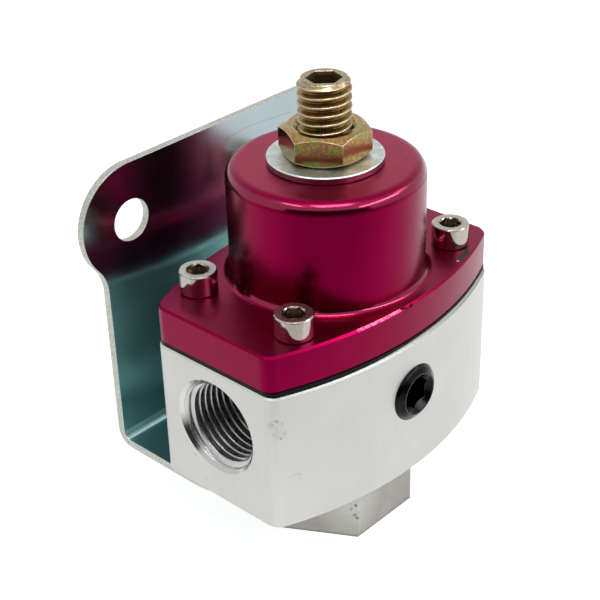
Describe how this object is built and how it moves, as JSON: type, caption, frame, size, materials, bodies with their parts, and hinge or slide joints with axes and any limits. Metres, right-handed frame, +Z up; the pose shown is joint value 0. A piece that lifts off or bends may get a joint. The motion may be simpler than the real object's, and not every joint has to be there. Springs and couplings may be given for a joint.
{
  "type": "fuel pressure regulator",
  "caption": "Diaphragm fuel pressure regulator: bow-sided body with threaded side outlets and bottom inlet, domed spring cover with adjusting screw, folded mounting bracket.",
  "frame": {"origin": "on the inlet axis, at the lower face of the inlet fitting's hexagon", "axes": "+Z up along the adjusting screw, X through the two outlets, -Y out of the gauge port, +Y out of the back of the bracket plate"},
  "size_m": [0.066, 0.0503, 0.0867],
  "materials": {
    "satin_aluminium": "satin machined aluminium",
    "red_anodise": "satin crimson anodised aluminium",
    "black_rubber": "matt nitrile rubber",
    "nickel_steel": "polished nickel plate",
    "yellow_zinc": "yellow zinc chromate plate",
    "yellow_zinc_nut": "yellow zinc chromate plate",
    "clear_zinc": "clear zinc plate",
    "bright_zinc": "smooth bright zinc plate on sheet steel",
    "black_oxide": "oiled black oxide",
    "grey_aluminium": "dull grey turned aluminium",
    "brass": "turned brass",
    "spring_steel": "bare spring wire"
  },
  "bodies": {
    "housing": {"body": "satin_aluminium", "cover": "red_anodise", "diaphragm": "black_rubber", "cover_screws": "nickel_steel", "flat_washer": "clear_zinc", "gauge_plug": "black_oxide", "bracket": "bright_zinc", "inlet_fitting": "grey_aluminium", "inlet_seal": "black_rubber", "valve_seat": "brass", "valve_spring": "spring_steel", "spring_retainer": "brass", "retainer_clip": "spring_steel", "main_spring": "spring_steel"},
    "spring_seat": {"spring_seat": "brass"},
    "adjuster": {"adjusting_screw": "yellow_zinc"},
    "jam_nut": {"jam_nut": "yellow_zinc_nut"},
    "valve": {"diaphragm_stem": "clear_zinc", "lower_plate": "clear_zinc", "upper_plate": "clear_zinc", "stem_nut": "clear_zinc", "valve_poppet": "brass", "poppet_seal": "black_rubber"}
  },
  "joints": [
    {"name": "spring_seat_travel", "type": "slide", "parent": "housing", "child": "spring_seat", "axis": [0, 0, 1], "range_m": [-0.0024, 0.0024], "deforming": ["main_spring"]},
    {"name": "adjuster_turn", "type": "hinge", "parent": "spring_seat", "child": "adjuster", "pos_m": [0, 0, 0.0613], "axis": [0, 0, 1], "range_deg": [-540, 540]},
    {"name": "jam_nut_turn", "type": "hinge", "parent": "housing", "child": "jam_nut", "pos_m": [0, 0, 0.0756], "axis": [0, 0, 1], "range_deg": [0, 180]},
    {"name": "valve_lift", "type": "slide", "parent": "housing", "child": "valve", "axis": [0, 0, 1], "range_m": [0, 0.0012], "stiffness_N_per_m": 4000, "springref_m": -0.003, "deforming": ["diaphragm", "valve_spring"]}
  ],
  "couplings": [
    {"joint": "spring_seat_travel", "follows": "adjuster_turn", "m_per_rad": 0.00025266}
  ]
}
